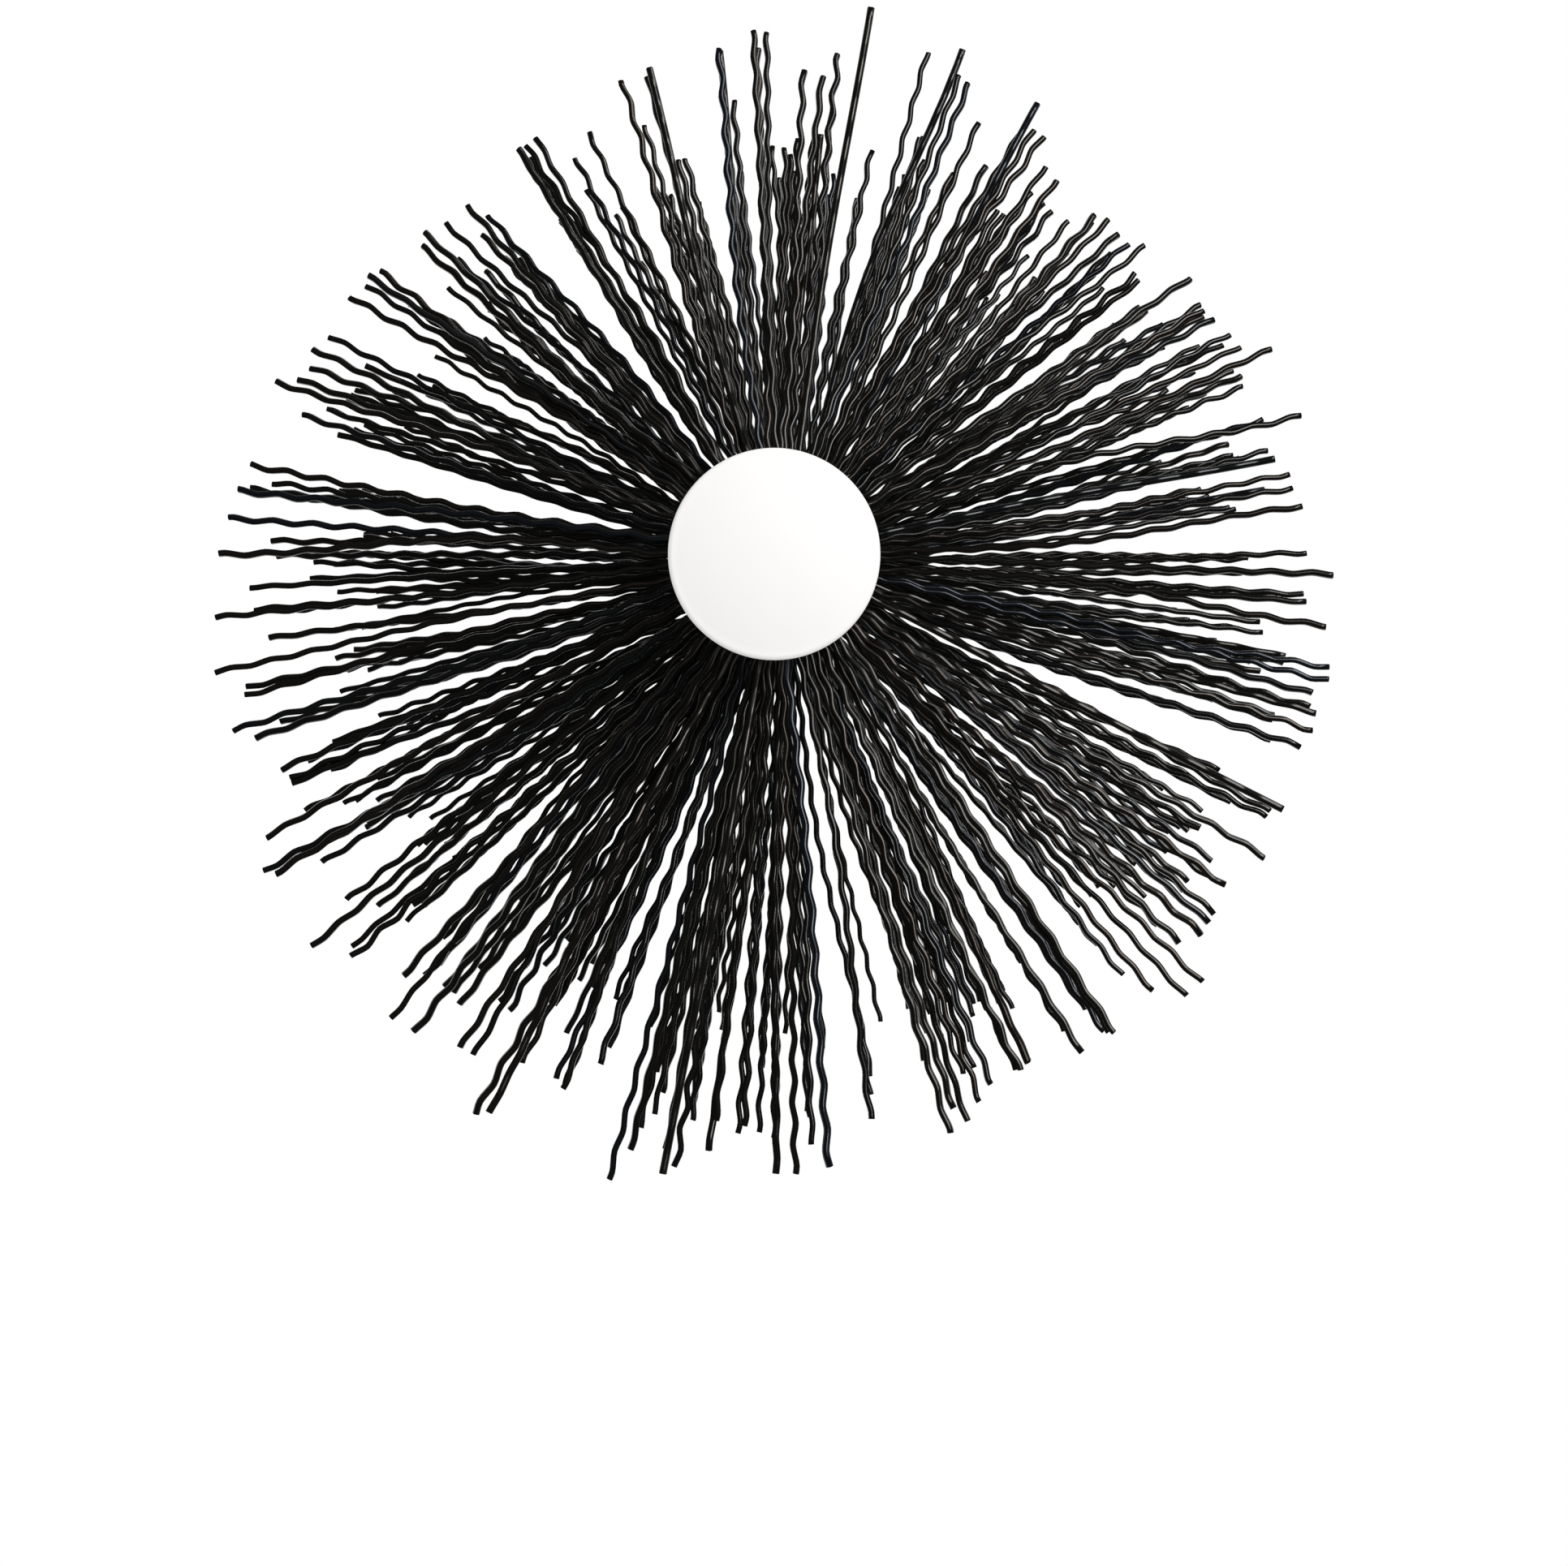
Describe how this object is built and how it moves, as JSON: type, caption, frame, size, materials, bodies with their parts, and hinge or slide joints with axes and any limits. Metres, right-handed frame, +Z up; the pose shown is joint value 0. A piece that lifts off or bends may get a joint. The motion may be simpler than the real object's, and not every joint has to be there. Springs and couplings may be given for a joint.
{
  "type": "chimney sweep brush",
  "caption": "Round flue-sweeping brush head: crimped black plastic bristles in a twisted wire stem, white nose cap, threaded ferrule that screws to a rod.",
  "frame": {"origin": "axis of the threaded stud, in the plane of the hexagon's shoulder where the rod's socket stops", "axes": "+Y along the brush axis towards the rod, -Y towards the nose cap, +Z up in the picture, +X to its right"},
  "size_m": [0.1196, 0.1595, 0.1261],
  "materials": {
    "nose_cap": "smooth white moulded polyamide",
    "bristle": "extruded and crimped black polyamide, satin",
    "stem_wire": "drawn galvanised steel wire",
    "ferrule": "turned and zinc-plated steel"
  },
  "bodies": {
    "root": {"nose_cap": "nose_cap", "bristle_section_1": "bristle", "bristle_section_2": "bristle", "bristle_section_3": "bristle", "bristle_section_4": "bristle", "stem_wire_1": "stem_wire", "stem_wire_2": "stem_wire", "stem_wire_3": "stem_wire", "stem_wire_4": "stem_wire", "threaded_ferrule": "ferrule"}
  },
  "joints": []
}
